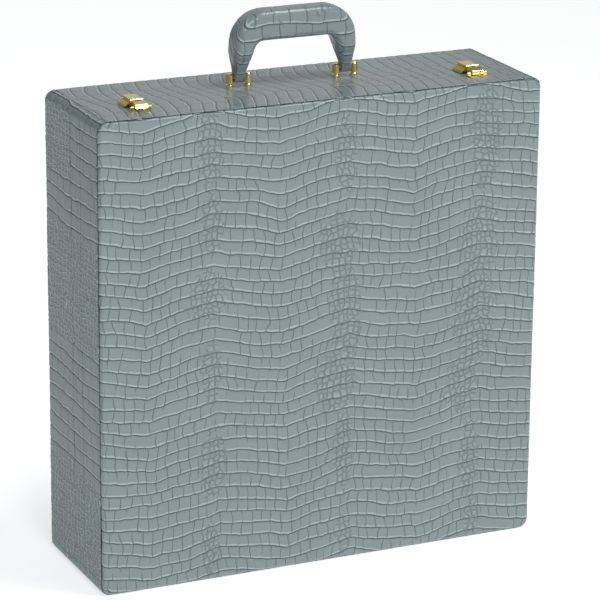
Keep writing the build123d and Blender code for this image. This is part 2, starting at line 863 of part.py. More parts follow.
for side, x in zip(("left", "right"), latch_centres):
    latch_bed(f"latch_{side}_bed", x)
    latch_button(f"latch_{side}_button", x)
    latch_hasp(f"latch_{side}_hasp", x)
    latch_strike(f"latch_{side}_strike", x)

with BuildPart() as hasp_pins:
    for x in latch_centres:
        with BuildSketch(latch_side(x)):
            with Locations((-hasp_pivot_ahead, hasp_pivot_height)):
                Circle(hasp_pin_radius)
        extrude(amount=hasp_width / 2 + hasp_pin_proud, both=True)
write(hasp_pins, "hasp_pins")

with BuildPart() as latch_springs:
    for x in latch_centres:
        with BuildSketch(latch_side(x)):
            with BuildLine():
                Polyline(
                    (spring_front, bed_thickness),
                    (spring_rear, bed_thickness),
                    (spring_rear, bed_thickness + spring_thickness),
                    (spring_front, bed_thickness + spring_thickness),
                    close=True,
                )
            make_face()
        extrude(amount=spring_width / 2, both=True)
write(latch_springs, "latch_springs")


# Rivets with heads let in flush, clinched under the lining

def clinched_rivets(name, places, top):
    clinch_z = -wall_total - lining_thickness
    with BuildPart() as rivets:
        for x, y in places:
            with BuildSketch(Plane(origin=(x, y, case_height), x_dir=(1, 0, 0), z_dir=(0, -1, 0))):
                with BuildLine():
                    Polyline(
                        (0, clinch_z - rivet_head_thickness),
                        (rivet_head_radius, clinch_z - rivet_head_thickness),
                        (rivet_head_radius, clinch_z),
                        (rivet_radius, clinch_z),
                        (rivet_radius, top - rivet_head_radius + rivet_radius),
                        (rivet_head_radius, top),
                        (0, top),
                        close=True,
                    )
                make_face()
            revolve(axis=Axis((x, y, 0), (0, 0, 1)))
    write(rivets, name)


clinched_rivets("bed_rivets", bed_rivet_places, bed_thickness)
clinched_rivets("strike_rivets", strike_rivet_places, strike_thickness)
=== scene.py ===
import math

import bpy
import numpy as np
from mathutils import Matrix, Vector


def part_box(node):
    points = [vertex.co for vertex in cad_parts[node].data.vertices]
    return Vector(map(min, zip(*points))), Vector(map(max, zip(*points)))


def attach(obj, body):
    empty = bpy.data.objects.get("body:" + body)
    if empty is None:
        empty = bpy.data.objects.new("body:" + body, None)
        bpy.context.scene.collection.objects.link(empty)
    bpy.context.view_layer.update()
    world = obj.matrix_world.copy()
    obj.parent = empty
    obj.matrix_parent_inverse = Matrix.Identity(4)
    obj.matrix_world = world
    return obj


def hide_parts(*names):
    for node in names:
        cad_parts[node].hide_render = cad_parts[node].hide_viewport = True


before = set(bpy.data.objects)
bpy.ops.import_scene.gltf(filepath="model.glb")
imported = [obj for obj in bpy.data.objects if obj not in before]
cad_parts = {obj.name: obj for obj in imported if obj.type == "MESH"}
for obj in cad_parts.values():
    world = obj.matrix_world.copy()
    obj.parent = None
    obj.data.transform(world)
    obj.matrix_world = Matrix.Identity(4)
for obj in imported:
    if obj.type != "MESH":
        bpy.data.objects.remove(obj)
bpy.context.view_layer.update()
bpy.ops.object.select_all(action="DESELECT")


# Camera and studio. The case is seen from the front left and a little above, through a long lens, on a pale
# floor. A soft light stands over the camera, a weaker one on the right, one overhead and one behind.

yaw, pitch, roll = math.radians(24.76), math.radians(17.58), math.radians(0.5)
forward = Vector((math.sin(yaw) * math.cos(pitch), math.cos(yaw) * math.cos(pitch), -math.sin(pitch)))
level = Vector((math.cos(yaw), -math.sin(yaw), 0))
upright = level.cross(forward)
right = level * math.cos(roll) + upright * math.sin(roll)
above = upright * math.cos(roll) - level * math.sin(roll)
bpy.ops.object.camera_add(location=(-1.1609, -2.5304, 1.1115))
camera = bpy.context.object
camera.rotation_euler = Matrix((right, above, -forward)).transposed().to_euler()
camera.data.lens = 194.5
camera.data.sensor_width = 36
camera.data.clip_start = 0.05
bpy.context.scene.camera = camera

bpy.ops.mesh.primitive_plane_add(size=14, location=(0, 0, 0))
floor = bpy.context.object
floor.name = "floor"
floor_paint = bpy.data.materials.new("floor_paint")
floor_paint.use_nodes = True
floor_shader = floor_paint.node_tree.nodes["Principled BSDF"]
floor_shader.inputs["Base Color"].default_value = (0.86, 0.86, 0.86, 1)
floor_shader.inputs["Roughness"].default_value = 0.7
floor_shader.inputs["Emission Color"].default_value = (1, 1, 1, 1)
floor_shader.inputs["Emission Strength"].default_value = 0.58
floor.data.materials.append(floor_paint)

world = bpy.data.worlds.new("studio")
bpy.context.scene.world = world
world.use_nodes = True
world.node_tree.nodes["Background"].inputs["Color"].default_value = (0.95, 0.97, 1.0, 1)
world.node_tree.nodes["Background"].inputs["Strength"].default_value = 0.26
bpy.context.scene.view_settings.view_transform = "Standard"


def softbox(name, place, aim, width, power):
    bpy.ops.object.light_add(type="AREA", location=place)
    lamp = bpy.context.object
    lamp.name = name
    lamp.data.size = width
    lamp.data.energy = power
    lamp.rotation_euler = (Vector(place) - Vector(aim)).to_track_quat("Z", "Y").to_euler()


middle = (0, 0, 0.22)
softbox("key_light", (-0.5, -2.6, 1.9), middle, 0.8, 26)
softbox("fill_light", (1.8, -2.2, 1.2), middle, 1.6, 9)
softbox("top_light", (0.75, -0.6, 2.3), middle, 0.8, 22)
softbox("back_light", (0.4, 2.7, 1.5), middle, 2.4, 5)


# Node helpers for every finish: a sum in the node tree, a drifting cloud value, a stretched or tinted value,
# a bump, and a material to start from.

def maths(tree, operation, *values):
    node = tree.nodes.new("ShaderNodeMath")
    node.operation = operation
    for socket, value in zip(node.inputs, values):
        if isinstance(value, bpy.types.NodeSocket):
            tree.links.new(value, socket)
        else:
            socket.default_value = value
    return node.outputs[0]


def cloud(tree, place, scale, detail=1.0):
    """A noise value that drifts about 0.5, read at place."""
    node = tree.nodes.new("ShaderNodeTexNoise")
    node.inputs["Scale"].default_value = scale
    node.inputs["Detail"].default_value = detail
    tree.links.new(place, node.inputs["Vector"])
    return node.outputs[0]


def stretch(tree, value, low, high, to_low=0.0, to_high=1.0):
    node = tree.nodes.new("ShaderNodeMapRange")
    node.interpolation_type = "SMOOTHSTEP"
    tree.links.new(value, node.inputs["Value"])
    for key, number in (("From Min", low), ("From Max", high), ("To Min", to_low), ("To Max", to_high)):
        node.inputs[key].default_value = number
    return node.outputs["Result"]


def tint(tree, share, dark, light):
    node = tree.nodes.new("ShaderNodeValToRGB")
    node.color_ramp.elements[0].color = (*dark, 1)
    node.color_ramp.elements[1].color = (*light, 1)
    tree.links.new(share, node.inputs["Fac"])
    return node.outputs["Color"]


def between(tree, share, first, second):
    """A colour between two, each a colour or a node's output."""
    node = tree.nodes.new("ShaderNodeMix")
    node.data_type = "RGBA"
    tree.links.new(share, node.inputs["Factor"])
    for socket, colour in ((node.inputs["A"], first), (node.inputs["B"], second)):
        if isinstance(colour, tuple):
            socket.default_value = (*colour, 1)
        else:
            tree.links.new(colour, socket)
    return node.outputs["Result"]


def bump(tree, shader, height, depth):
    node = tree.nodes.new("ShaderNodeBump")
    node.inputs["Distance"].default_value = depth
    tree.links.new(height, node.inputs["Height"])
    tree.links.new(node.outputs["Normal"], shader.inputs["Normal"])


def new_finish(name, **constants):
    """A material with its shader's own constants set, its tree, its shader and its object coordinates."""
    material = bpy.data.materials.new(name)
    material.use_nodes = True
    tree = material.node_tree
    shader = tree.nodes["Principled BSDF"]
    for key, number in constants.items():
        shader.inputs[key.replace("_", " ")].default_value = number
    place = tree.nodes.new("ShaderNodeTexCoord").outputs["Object"]
    return material, tree, shader, place


def dress(material, *names):
    for name in names:
        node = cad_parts[name]
        if not node.material_slots:
            node.data.materials.append(material)
        for slot in node.material_slots:
            slot.material = material


# Boards of the lid and the base: thin birch plywood, sanded, glued at the corners. They show only at the
# parting, and their outer faces, seen in the gaps where the coverings meet, are painted near black
# as shade.

plywood, tree, shader, place = new_finish("plywood", Roughness=0.62)
turned = tree.nodes.new("ShaderNodeMapping")
turned.inputs["Scale"].default_value = (1.0, 9.0, 9.0)
tree.links.new(place, turned.inputs["Vector"])
grain = cloud(tree, turned.outputs["Vector"], 60, 6)
birch = tint(tree, grain, (0.36, 0.23, 0.12), (0.66, 0.49, 0.30))
board_half_width, board_half_depth = 0.2113, 0.0616
board_half_height, board_middle = 0.2138, 0.215
gap_shade_from, gap_shade_full = -0.0016, -0.0011
spread = tree.nodes.new("ShaderNodeSeparateXYZ")
tree.links.new(place, spread.inputs["Vector"])
beyond = maths(tree, "SUBTRACT", maths(tree, "ABSOLUTE", spread.outputs["X"]), board_half_width)
for side, middle_line, half in (("Y", 0.0, board_half_depth), ("Z", board_middle, board_half_height)):
    offset = maths(tree, "ABSOLUTE", maths(tree, "SUBTRACT", spread.outputs[side], middle_line))
    beyond = maths(tree, "MAXIMUM", beyond, maths(tree, "SUBTRACT", offset, half))
# Painted shade: the birch turns near black within about 1.6 mm of the boards' outer faces, which show only in
# the gaps between the coverings.
painted_gap_shade = stretch(tree, beyond, gap_shade_from, gap_shade_full)
tree.links.new(between(tree, painted_gap_shade, birch, (0.03, 0.043, 0.047)), shader.inputs["Base Color"])
bump(tree, shader, grain, 0.0003)
dress(plywood, *[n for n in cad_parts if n.endswith("_board")])


# Leatherette. One embossed sheet covers the case: rows of oblong belly scales, with clusters of small round
# scales between them. The same pattern sinks the grooves in each sheet and colours them: painted shade in
# the grooves and low parts, a painted highlight on the raised lips above the row lines.

def read_hide(tree):
    """Where a point lies on the hide: across and along in millimetres, and its share of small scales."""
    if tree.type == "GEOMETRY":
        node = tree.nodes.new("GeometryNodeInputNamedAttribute")
        node.data_type = "FLOAT_VECTOR"
        node.inputs["Name"].default_value = "hide"
        socket = node.outputs["Attribute"]
    else:
        node = tree.nodes.new("ShaderNodeAttribute")
        node.attribute_name = "hide"
        socket = node.outputs["Vector"]
    parts = tree.nodes.new("ShaderNodeSeparateXYZ")
    tree.links.new(socket, parts.inputs[0])
    return parts.outputs["X"], parts.outputs["Y"], parts.outputs["Z"]


def at(tree, across, along, layer):
    node = tree.nodes.new("ShaderNodeCombineXYZ")
    tree.links.new(across, node.inputs["X"])
    tree.links.new(along, node.inputs["Y"])
    node.inputs["Z"].default_value = layer
    return node.outputs[0]


def near_line(tree, position, pitch):
    """Millimetres to the nearest of a set of lines, from a position that counts the lines."""
    middle = maths(tree, "ABSOLUTE", maths(tree, "SUBTRACT", maths(tree, "FRACT", position), 0.5))
    return maths(tree, "MULTIPLY", maths(tree, "SUBTRACT", 0.5, middle), pitch)


def drift(tree, place, scale, reach):
    """A noise value that drifts about nought, as far as reach each way."""
    value = maths(tree, "SUBTRACT", cloud(tree, place, scale), 0.5)
    return maths(tree, "MULTIPLY", value, 2 * reach)


def croc_scales(tree, row, column, bead, beads_in_row, bead_heights, rows_end=0.0, soft=1.0):
    """Height of the hide: 1 on the scales, less in the grooves, and more on the lip above each row line."""
    across, along, small = read_hide(tree)
    bend = drift(tree, at(tree, across, along, 3), 0.016, 6)
    waver = drift(tree, at(tree, across, along, 5), 0.1, 1.5)
    rows = maths(tree, "DIVIDE", maths(tree, "ADD", along, maths(tree, "ADD", bend, waver)), row)
    row_cut = stretch(tree, near_line(tree, rows, row), 0.0, 0.8 * soft)
    lip = stretch(tree, maths(tree, "FRACT", rows), 1 - 3.0 / row, 1 - 1.2 / row, 0.0, 0.5)

    count = maths(tree, "FLOOR", rows)
    chance = maths(tree, "MULTIPLY", maths(tree, "SINE", maths(tree, "MULTIPLY", count, 12.99)), 437.5)
    shift = maths(tree, "MULTIPLY", maths(tree, "FRACT", chance), column * 0.8)
    lean = drift(tree, at(tree, across, along, 9), 0.045, 6)
    moved = maths(tree, "ADD", across, maths(tree, "ADD", lean, shift))
    to_column = near_line(tree, maths(tree, "DIVIDE", moved, column), column)
    faint = stretch(tree, cloud(tree, at(tree, across, along, 12), 0.05), 0.5, 0.7, 0.0, 0.5)
    to_column = maths(tree, "ADD", to_column, maths(tree, "MULTIPLY", faint, soft))
    column_cut = stretch(tree, to_column, 0.0, 0.6 * soft, 0.35, 1.0)

    spot = tree.nodes.new("ShaderNodeTexVoronoi")
    spot.voronoi_dimensions = "2D"
    spot.feature = "DISTANCE_TO_EDGE"
    spot.inputs["Scale"].default_value = 1.0
    spot.inputs["Randomness"].default_value = 0.55
    beads = at(tree, maths(tree, "DIVIDE", moved, bead), maths(tree, "MULTIPLY", rows, beads_in_row), 0)
    tree.links.new(beads, spot.inputs["Vector"])
    rim = maths(tree, "MULTIPLY", spot.outputs["Distance"], bead)
    bead_cut = stretch(tree, rim, 0.0, 1.3 * soft, *bead_heights)

    edge = drift(tree, at(tree, across, along, 15), 0.13, 0.6)
    share = stretch(tree, maths(tree, "ADD", small, edge), 0.35, 0.65)
    cut = maths(
        tree, "ADD", maths(tree, "MULTIPLY", column_cut, maths(tree, "SUBTRACT", 1, share)),
        maths(tree, "MULTIPLY", bead_cut, share),
    )
    fringe = cloud(tree, at(tree, maths(tree, "MULTIPLY", across, 6), along, 20), 0.16)
    under = stretch(tree, maths(tree, "FRACT", rows), 0.0, 4.0 / row, 0.35, 0.0)
    worn = maths(tree, "SUBTRACT", 1, maths(tree, "MULTIPLY", stretch(tree, fringe, 0.45, 0.65), under))
    ended = maths(tree, "MULTIPLY", share, rows_end)
    left_lip = maths(tree, "MULTIPLY", lip, maths(tree, "SUBTRACT", 1, ended))
    ridge = maths(tree, "MULTIPLY", maths(tree, "MAXIMUM", row_cut, ended), maths(tree, "ADD", 1, left_lip))
    return maths(tree, "MULTIPLY", maths(tree, "MULTIPLY", ridge, cut), worn)


def leatherette(name, polish, **scales):
    material, tree, shader, place = new_finish(
        name, Coat_Weight=polish, Coat_Roughness=0.12, Coat_IOR=1.45, Specular_IOR_Level=0.6 * polish
    )
    height = croc_scales(tree, **scales)
    stain = cloud(tree, place, 14, 2)
    flat = tint(tree, stain, (0.185, 0.232, 0.242), (0.228, 0.28, 0.29))
    # Painted shade: the lower the hide, the darker its colour, down to near black in the grooves.
    sunk = between(tree, stretch(tree, height, 0.0, 0.95), (0.085, 0.118, 0.125), flat)
    # Painted highlight: where the hide rises above the scale tops, on the lips above the row lines and on
    # raised bead rims, it is coloured lighter.
    painted_shade_and_highlight = between(tree, stretch(tree, height, 1.05, 1.4), sunk, (0.36, 0.43, 0.438))
    tree.links.new(painted_shade_and_highlight, shader.inputs["Base Color"])
    pore = cloud(tree, place, 900, 3)
    tree.links.new(stretch(tree, pore, 0.3, 0.7, 0.3, 0.42), shader.inputs["Roughness"])
    bump(tree, shader, maths(tree, "ADD", height, maths(tree, "MULTIPLY", pore, 0.05)), 0.0009)
    return material


def emboss(piece, depth, **scales):
    """Sinks the grooves into a sheet, and leaves the tops of the scales where they are."""
    tree = bpy.data.node_groups.new(piece.name + "_relief", "GeometryNodeTree")
    tree.interface.new_socket("Geometry", in_out="INPUT", socket_type="NodeSocketGeometry")
    tree.interface.new_socket("Geometry", in_out="OUTPUT", socket_type="NodeSocketGeometry")
    start, end = tree.nodes.new("NodeGroupInput"), tree.nodes.new("NodeGroupOutput")
    press = tree.nodes.new("GeometryNodeSetPosition")
    height = croc_scales(tree, soft=2.4, **scales)
    rise = maths(tree, "MULTIPLY", maths(tree, "SUBTRACT", height, 1), depth)
    sink = tree.nodes.new("ShaderNodeVectorMath")
    sink.operation = "SCALE"
    tree.links.new(tree.nodes.new("GeometryNodeInputNormal").outputs[0], sink.inputs[0])
    tree.links.new(rise, sink.inputs["Scale"])
    tree.links.new(sink.outputs[0], press.inputs["Offset"])
    tree.links.new(start.outputs[0], press.inputs["Geometry"])
    tree.links.new(press.outputs[0], end.inputs[0])
    modifier = piece.modifiers.new("relief", "NODES")
    modifier.node_group = tree
    apply_all(piece)


def pick_up(piece):
    """Selects one piece alone and makes it the active one."""
    bpy.ops.object.select_all(action="DESELECT")
    piece.select_set(True)
    bpy.context.view_layer.objects.active = piece


def apply_all(piece):
    pick_up(piece)
    for modifier in list(piece.modifiers):
        bpy.ops.object.modifier_apply(modifier=modifier.name)


def write_hide(piece, across, along, small):
    """Tells each point of a piece where it lies on the hide."""
    layout = piece.data.attributes.new("hide", "FLOAT_VECTOR", "POINT")
    layout.data.foreach_set("vector", np.stack((across, along, small), 1).astype(np.float32).ravel())


def courses(length, pitch, rim):
    """Distances along a sheet at which it gets a row of faces: close together in the rims, then evenly."""
    rim = np.array(rim)
    count = int(round((length - 2 * rim[-1]) / pitch))
    inner = np.linspace(rim[-1], length - rim[-1], count + 1)
    return np.concatenate([rim[:-1], inner, length - rim[:-1][::-1]])


def lay_sheet(name, across, along, shape):
    """A grid of faces with those courses, laid where shape says: it gives places and hide, in millimetres."""
    bpy.ops.object.select_all(action="DESELECT")
    bpy.ops.mesh.primitive_grid_add(x_subdivisions=len(across) - 1, y_subdivisions=len(along) - 1, size=2)
    piece = bpy.context.object
    piece.name = name
    flat = np.empty(len(piece.data.vertices) * 3)
    piece.data.vertices.foreach_get("co", flat)
    flat = flat.reshape(-1, 3)
    a = np.interp((flat[:, 0] + 1) / 2, np.linspace(0, 1, len(across)), across)
    b = np.interp((flat[:, 1] + 1) / 2, np.linspace(0, 1, len(along)), along)
    places, hide = shape(a, b)
    piece.data.vertices.foreach_set("co", (np.stack(places, 1) / 1000).ravel())
    write_hide(piece, *hide)
    piece.data.update()
    bpy.ops.object.shade_smooth()
    return piece


def close_back(piece):
    """Fills the open rim of a panel with the face that is glued to the board."""
    pick_up(piece)
    bpy.ops.object.mode_set(mode="EDIT")
    bpy.ops.mesh.select_all(action="DESELECT")
    bpy.ops.mesh.select_mode(type="EDGE")
    bpy.ops.mesh.select_non_manifold(extend=False, use_wire=False, use_boundary=True,
                                     use_multi_face=False, use_non_contiguous=False, use_verts=False)
    bpy.ops.mesh.edge_face_add()
    bpy.ops.mesh.select_all(action="SELECT")
    bpy.ops.mesh.normals_make_consistent(inside=False)
    bpy.ops.object.mode_set(mode="OBJECT")


# Padded front and back panels: leatherette over thin foam, pulled round the edges of the board and glued
# behind it, so that the edges are rolled.

width, height, depth = 425.0, 430.0, 130.0
corner = 9.0
face_pitch = 1.5
panel_inset = 1.0
roll_radius = 2.8
roll_straight = 0.6
roll_length = roll_straight + roll_radius * math.pi / 2
roll_steps = [0, roll_straight] + [roll_straight + roll_radius * math.pi / 2 * i / 5 for i in range(1, 6)]
panel_width, panel_height = width - 2 * panel_inset, height - 2 * panel_inset
panel_corner = corner - panel_inset
panel_across = courses(panel_width - 2 * roll_radius + 2 * roll_length, face_pitch, roll_steps)
panel_along = courses(panel_height - 2 * roll_radius + 2 * roll_length, face_pitch, roll_steps)
first_valley, lobe_width, crest_rise = 38.0, 129.5, 11.0

# Clusters of small scales: across and down from the panel's top left corner, and half their width and height
small_clusters = [
    (103, 30, 12, 34), (104, 100, 10, 26), (100, 165, 18, 24), (104, 235, 10, 30), (105, 320, 12, 34),
    (103, 400, 8, 22), (226, 130, 20, 26), (233, 195, 15, 50), (224, 262, 20, 26), (232, 325, 10, 36),
    (232, 50, 10, 36), (233, 405, 8, 20), (370, 50, 15, 50), (366, 140, 18, 40), (362, 215, 20, 48),
    (350, 280, 16, 26), (360, 350, 10, 36), (364, 410, 8, 18),
]


def panel_shape(face):
    """Face is -1 for the front and 1 for the back."""
    def shape(a, b):
        half_a, half_b = panel_across[-1] / 2, panel_along[-1] / 2
        rim = np.minimum(np.minimum(a, 2 * half_a - a), np.minimum(b, 2 * half_b - b))
        turn = np.clip((roll_length - rim) / roll_radius, 0, math.pi / 2)
        rolled = rim < roll_length
        inset = np.where(rolled, roll_radius * (1 - np.sin(turn)), roll_radius + rim - roll_length)
        sunk = roll_radius * (1 - np.cos(turn)) + np.clip(roll_straight - rim, 0, None)
        x = (a - half_a) * (panel_width / 2 - inset) / (half_a - rim)
        z = (b - half_b) * (panel_height / 2 - inset) / (half_b - rim)
        left = np.clip(panel_corner - inset, 1e-6, None)
        p = np.clip((np.abs(x) - panel_width / 2 + panel_corner) / left, 0, 1)
        q = np.clip((np.abs(z) - panel_height / 2 + panel_corner) / left, 0, 1)
        bent = (p > 0) & (q > 0) & (inset < panel_corner)
        x_bent = panel_width / 2 - panel_corner + left * p * np.sqrt(1 - q * q / 2)
        z_bent = panel_height / 2 - panel_corner + left * q * np.sqrt(1 - p * p / 2)
        x, z = np.where(bent, np.sign(x) * x_bent, x), np.where(bent, np.sign(z) * z_bent, z)
        y = face * (depth / 2 - sunk)
        across, down = a - half_a + width / 2, half_b - b + height / 2
        swing = (across - first_valley) / lobe_width - down * 0.0002
        along = down + crest_rise * (1 - np.abs(swing % 1 * 2 - 1))
        small = np.max([1 - 0.5 * (((across - u) / ru) ** 2 + ((down - v) / rv) ** 2)
                        for u, v, ru, rv in small_clusters], axis=0)
        return (-face * x, y, z + height / 2), (across, along, np.clip(small, 0, 1))
    return shape


belly = {"row": 11.4, "column": 9.6, "bead": 5.4, "beads_in_row": 2, "bead_heights": (0.45, 1.15)}
face_leather = leatherette("leatherette_panels", 0.5, **belly)
panels = (("face_panel", -1, "lid", "lid_face_cover"), ("back_panel", 1, "base", "base_back_cover"))
for name, face, body, node in panels:
    panel = lay_sheet(name, panel_across, panel_along, panel_shape(face))
    emboss(panel, depth=0.00045, **belly)
    close_back(panel)
    panel.data.materials.append(face_leather)
    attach(panel, body)
    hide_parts(node)


# Wall coverings: strips of the same leatherette glued round the four walls. The side strips turn over the
# corners and meet the top strip in a crease, and each side of the base is covered in two strips.

cover, glue_gap = 1.2, 0.15
edge_steps = (0, 0.15, 0.45, 0.9)
arc = corner * math.pi / 2
side_length = height - 2 * corner + 2 * arc
side_courses = courses(side_length, face_pitch, edge_steps)
crease_gap = 0.3
top_width = width - 2 * corner - crease_gap
top_courses = courses(top_width, face_pitch, edge_steps)
parting, half_seam, half_joint = -22.5, 0.2, 0.15
vee_start, vee_slope = 2.9, 1.12


def edge_drop(distance):
    """How far the sheet turns in near its edge."""
    near = np.clip(0.6 - distance, 0, 0.6)
    return 0.6 - np.sqrt(0.36 - near * near)


def rim_drop(a, b, length, run):
    """How far a strip of that length and run turns in near any of its four edges."""
    over_run = np.maximum(edge_drop(b), edge_drop(run - b))
    return np.maximum(over_run, np.maximum(edge_drop(a), edge_drop(length - a)))


def side_shape(side, y_courses, zones):
    """A strip that goes over a side, from its crease at the bottom to its crease at the top."""
    def shape(a, b):
        climb = a if side < 0 else side_length - a
        run = y_courses[1] - y_courses[0]
        y = y_courses[0] + b
        inward = rim_drop(a, b, side_length, run)
        radius = corner - inward
        low, high = climb < arc, climb > side_length - arc
        turn_low, turn_high = climb / corner, (side_length - climb) / corner
        x_high = np.where(high, corner - radius * np.sin(turn_high), inward)
        x = np.where(low, corner - radius * np.sin(turn_low), x_high)
        z_high = np.where(high, height - corner + radius * np.cos(turn_high), corner + climb - arc)
        z = np.where(low, corner - radius * np.cos(turn_low), z_high)
        bevel = vee_slope * np.clip(vee_start - z, 0, None)
        if y_courses[1] < parting:
            y = y - b * bevel / run
        elif y_courses[0] < 0:
            y = y + (run - b) * bevel / run
        down = side_length - climb - (arc - corner)
        small = np.zeros_like(down)
        for start, end in zones:
            small = np.maximum(small, np.clip(np.minimum(down - start, end - down) / 12 + 0.5, 0, 1))
        return (side * (width / 2 - x), y, z), (y + 65 + 40 * (side + 1), down, small)
    return shape


def top_shape(y_courses):
    """A strip that lies flat on the top, between the creases."""
    def shape(a, b):
        y = y_courses[0] + b
        inward = rim_drop(a, b, top_width, y_courses[1] - y_courses[0])
        along = a + 6 * np.sin(y / 16) * np.clip(1 - np.abs(a - 150) / 260, 0, 1)
        small = np.clip(0.62 - np.hypot((a - 395) / 60, (y - 60) / 50), 0, 1)
        return (a - top_width / 2, y, height - inward), (y + 65, along, small)
    return shape


def thicken(piece, thickness):
    wall = piece.modifiers.new("thickness", "SOLIDIFY")
    wall.thickness = thickness / 1000
    wall.offset = -1
    apply_all(piece)


side_scales = {
    "row": 13.4, "column": 15.0, "bead": 7.4, "beads_in_row": 3, "bead_heights": (1.6, 0.7), "rows_end": 1.0,
}
side_leather = leatherette("leatherette_sides", 0.12, **side_scales)
top_scales = {"row": 11.8, "column": 21.0, "bead": 6.0, "beads_in_row": 2, "bead_heights": (0.45, 1.15)}
top_leather = leatherette("leatherette_top", 0.5, **top_scales)
front_end, rear_end = -61.6, 61.6
strips = [("lid", front_end, parting - half_seam, [(115, 212), (330, 440)]),
          ("base_front", parting + half_seam, -half_joint, [(115, 212), (330, 440)]),
          ("base_rear", half_joint, rear_end, [(4, 65), (112, 218), (324, 440)])]
for side, word in ((-1, "left"), (1, "right")):
    for part, start, end, zones in strips:
        strip_courses = courses(end - start, face_pitch, edge_steps)
        strip = lay_sheet(f"{part}_{word}_covering", side_courses, strip_courses,
                          side_shape(side, (start, end), zones))
        emboss(strip, depth=0.0004, **side_scales)
        thicken(strip, cover - glue_gap)
        strip.data.materials.append(side_leather)
        body, place_word = part.split("_")[0], part.split("_")[-1]
        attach(strip, body)
        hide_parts(f"lid_{word}_cover" if body == "lid" else f"base_{word}_{place_word}_cover")
for body, start, end in (("lid", front_end, parting - half_seam), ("base", parting + half_seam, rear_end)):
    strip = lay_sheet(f"{body}_top_covering", top_courses, courses(end - start, face_pitch, edge_steps),
                      top_shape((start, end)))
    emboss(strip, depth=0.0004, **top_scales)
    thicken(strip, cover - glue_gap)
    strip.data.materials.append(top_leather)
    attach(strip, body)
    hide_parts(f"{body}_top_cover")


# Bottom coverings: the same sheet glued under the case, cut out round the hinges. They have no modelled
# grooves, and their finish carries the embossing: a bump, with painted shade in the grooves.

bottom_leather, tree, shader, place = new_finish("leatherette_bottom", Coat_Weight=0.2, Coat_Roughness=0.25)
spot = tree.nodes.new("ShaderNodeTexVoronoi")
spot.feature = "DISTANCE_TO_EDGE"
spot.inputs["Scale"].default_value = 105
spot.inputs["Randomness"].default_value = 0.5
tree.links.new(place, spot.inputs["Vector"])
scale_tops = stretch(tree, spot.outputs["Distance"], 0.02, 0.12)
# Painted shade: the grooves between the scale tops are coloured near black.
colour = tint(tree, scale_tops, (0.055, 0.085, 0.09), (0.25, 0.31, 0.315))
tree.links.new(colour, shader.inputs["Base Color"])
tree.links.new(stretch(tree, cloud(tree, place, 700, 2), 0.3, 0.7, 0.34, 0.46), shader.inputs["Roughness"])
bump(tree, shader, scale_tops, 0.0005)
dress(bottom_leather, "lid_bottom_cover", "base_bottom_cover")


# Velvet: short dark green pile on card, glued to the walls and the back board.

velvet, tree, shader, place = new_finish("velvet", Roughness=0.95, Sheen_Weight=0.7, Sheen_Roughness=0.35)
pile = cloud(tree, place, 1600, 2)
brushed = cloud(tree, place, 22, 3)
tree.links.new(tint(tree, brushed, (0.012, 0.045, 0.032), (0.03, 0.09, 0.065)), shader.inputs["Base Color"])
bump(tree, shader, pile, 0.0004)
dress(velvet, "lid_lining", "base_lining", "base_floor_lining")


# Lid pad: velvet over soft foam, glued to the face board, which holds the pieces when the lid is shut.

pad_low, pad_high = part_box("lid_pad")
bpy.ops.object.select_all(action="DESELECT")
bpy.ops.mesh.primitive_cube_add(size=1, location=(pad_low + pad_high) / 2)
pad = bpy.context.object
pad.name = "lid_cushion"
pad.scale = pad_high - pad_low
bpy.ops.object.transform_apply(location=True, rotation=True, scale=True)
bpy.ops.object.mode_set(mode="EDIT")
bpy.ops.mesh.select_all(action="SELECT")
bpy.ops.mesh.subdivide(number_cuts=40)
bpy.ops.object.mode_set(mode="OBJECT")
pad_middle = (pad_low + pad_high) / 2
pad_half = (pad_high - pad_low) / 2
for vertex in pad.data.vertices:
    rim = min(pad_half.x - abs(vertex.co.x - pad_middle.x), pad_half.z - abs(vertex.co.z - pad_middle.z))
    soft = min(rim / 0.012, 1.0)
    if vertex.co.y > pad_middle.y:
        vertex.co.y -= 0.0014 * (1 - math.sin(soft * math.pi / 2))
bpy.ops.object.shade_smooth_by_angle(angle=math.radians(50))
pad.data.materials.append(velvet)
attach(pad, "lid")
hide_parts("lid_pad")


# Piece trays: beech floors and walls with thin dividers let into them, under a satin varnish.

beech, tree, shader, place = new_finish("beech", Roughness=0.42, Coat_Weight=0.15, Coat_Roughness=0.3)
drawn = tree.nodes.new("ShaderNodeMapping")
drawn.inputs["Scale"].default_value = (1.0, 14.0, 10.0)
tree.links.new(place, drawn.inputs["Vector"])
grain = cloud(tree, drawn.outputs["Vector"], 34, 5)
fleck = cloud(tree, drawn.outputs["Vector"], 210, 2)
figure = maths(tree, "ADD", maths(tree, "MULTIPLY", grain, 0.75), maths(tree, "MULTIPLY", fleck, 0.25))
tree.links.new(tint(tree, stretch(tree, figure, 0.3, 0.7), (0.27, 0.14, 0.06), (0.50, 0.31, 0.16)),
               shader.inputs["Base Color"])
bump(tree, shader, figure, 0.0002)
dress(beech, *[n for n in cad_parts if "_tray_" in n and "ribbon" not in n])


# Ribbon pulls: woven satin tape, glued to the end walls of the upper tray and folded over its rim.

